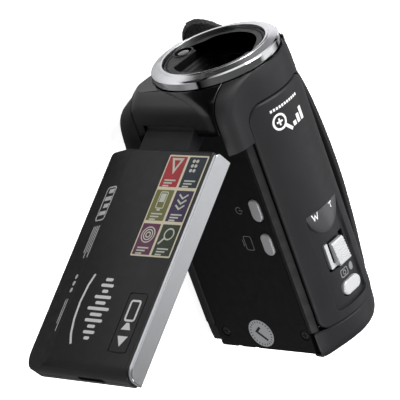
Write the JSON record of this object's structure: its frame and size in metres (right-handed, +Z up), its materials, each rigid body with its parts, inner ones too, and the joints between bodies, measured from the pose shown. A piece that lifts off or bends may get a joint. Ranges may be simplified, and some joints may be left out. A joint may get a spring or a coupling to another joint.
{
  "type": "camcorder",
  "caption": "Hand-held camcorder with chrome lens ring, fold-out twisting screen, top zoom and photo keys, rear controls and a side hand strap.",
  "frame": {"origin": "middle of the flat base that the camcorder stands on, under the lens axis", "axes": "-Y the way the lens looks, +X towards the fold-out screen, +Z up; the screen stands open at rest"},
  "size_m": [0.1399, 0.1084, 0.0593],
  "materials": {
    "gloss_black": "gloss",
    "matte_grey": "satin",
    "side_black": "fine matte grain",
    "inner_black": "matte",
    "chrome": "polished",
    "silver_plastic": "satin silver paint",
    "steel": "satin",
    "board": "solder mask",
    "lens_glass": "coated",
    "screen_glass": "gloss",
    "lamp": "clear moulded",
    "indicator": "tinted",
    "gold": "plated",
    "battery_wrap": "satin",
    "strap_web": "woven nylon and loop pile",
    "rubber": "matte"
  },
  "bodies": {
    "case": {"front_cap": "gloss_black", "front_shell": "matte_grey", "lens_ring": "chrome", "lens_plate": "side_black", "lens_hood": "inner_black", "lens_barrel": "inner_black", "front_lens": "lens_glass", "rear_lens": "lens_glass", "image_sensor": "inner_black", "sensor_board": "board", "lamp_lens": "lamp", "lamp_led": "gold", "microphone": "steel", "left_housing": "side_black", "side_screw_1": "steel", "side_screw_2": "steel", "right_shell": "matte_grey", "tripod_socket": "steel", "top_panel": "matte_grey", "rear_shell": "matte_grey", "control_panel": "gloss_black", "status_light": "indicator", "usb_socket": "steel", "video_socket": "steel", "rear_board": "board", "main_board": "board", "battery": "battery_wrap", "battery_contacts": "gold", "card_socket": "steel", "memory_card": "battery_wrap", "speaker": "inner_black", "hinge_pin": "steel", "hinge_bracket": "steel", "hand_strap": "strap_web", "strap_loop_front": "inner_black", "strap_loop_rear": "inner_black"},
    "screen_arm": {"hinge_block": "matte_grey", "twist_shaft": "steel"},
    "screen": {"screen_cover": "matte_grey", "screen_edge_trim": "silver_plastic", "screen_frame": "gloss_black", "screen_glass": "screen_glass", "display_module": "steel"},
    "power_key": {"power_button": "silver_plastic"},
    "display_key": {"display_button": "silver_plastic"},
    "photo_key": {"photo_button": "silver_plastic"},
    "zoom_slide": {"zoom_slider": "silver_plastic", "zoom_carrier": "silver_plastic"},
    "record_key": {"record_button": "silver_plastic"},
    "mode_key": {"mode_button": "silver_plastic"},
    "menu_key": {"menu_button": "silver_plastic"},
    "pad_gimbal": {"pad_pivot": "inner_black"},
    "pad": {"navigation_pad": "silver_plastic"},
    "port_flap": {"port_cover": "rubber"},
    "battery_lid": {"battery_door": "matte_grey"}
  },
  "joints": [
    {"name": "screen_swing", "type": "hinge", "parent": "case", "child": "screen_arm", "pos_m": [0.0221, -0.038, 0.0292], "axis": [0, 0, -1], "range_deg": [-58.35, 31.65]},
    {"name": "screen_twist", "type": "hinge", "parent": "screen_arm", "child": "screen", "pos_m": [0.0221, -0.038, 0.0296], "axis": [0.8513, 0.5247, 0], "range_deg": [0, 180]},
    {"name": "power_press", "type": "slide", "parent": "case", "child": "power_key", "axis": [-1, 0, 0], "range_m": [0, 0.0005], "stiffness_N_per_m": 350},
    {"name": "display_press", "type": "slide", "parent": "case", "child": "display_key", "axis": [-1, 0, 0], "range_m": [0, 0.0005], "stiffness_N_per_m": 350},
    {"name": "photo_press", "type": "slide", "parent": "case", "child": "photo_key", "axis": [0, 0, -1], "range_m": [0, 0.0006], "stiffness_N_per_m": 350},
    {"name": "zoom_slide", "type": "slide", "parent": "case", "child": "zoom_slide", "axis": [1, 0, 0], "range_m": [-0.001, 0.001], "stiffness_N_per_m": 300},
    {"name": "record_press", "type": "slide", "parent": "case", "child": "record_key", "axis": [0, -1, 0], "range_m": [0, 0.0008], "stiffness_N_per_m": 350},
    {"name": "mode_press", "type": "slide", "parent": "case", "child": "mode_key", "axis": [0, -1, 0], "range_m": [0, 0.0005], "stiffness_N_per_m": 350},
    {"name": "menu_press", "type": "slide", "parent": "case", "child": "menu_key", "axis": [0, -1, 0], "range_m": [0, 0.0005], "stiffness_N_per_m": 350},
    {"name": "pad_tilt_up_down", "type": "hinge", "parent": "case", "child": "pad_gimbal", "pos_m": [-0.0036, 0.047, 0.0293], "axis": [1, 0, 0], "range_deg": [-4, 4], "stiffness_Nm_per_rad": 0.05},
    {"name": "pad_tilt_left_right", "type": "hinge", "parent": "pad_gimbal", "child": "pad", "pos_m": [-0.0036, 0.047, 0.0293], "axis": [0, 0, 1], "range_deg": [-4, 4], "stiffness_Nm_per_rad": 0.05},
    {"name": "port_cover_swing", "type": "hinge", "parent": "case", "child": "port_flap", "pos_m": [0.0102, 0.051, 0.021], "axis": [0, 0, -1], "range_deg": [0, 110]},
    {"name": "battery_door_slide", "type": "slide", "parent": "case", "child": "battery_lid", "axis": [0, 1, 0], "range_m": [0, 0.03]}
  ]
}
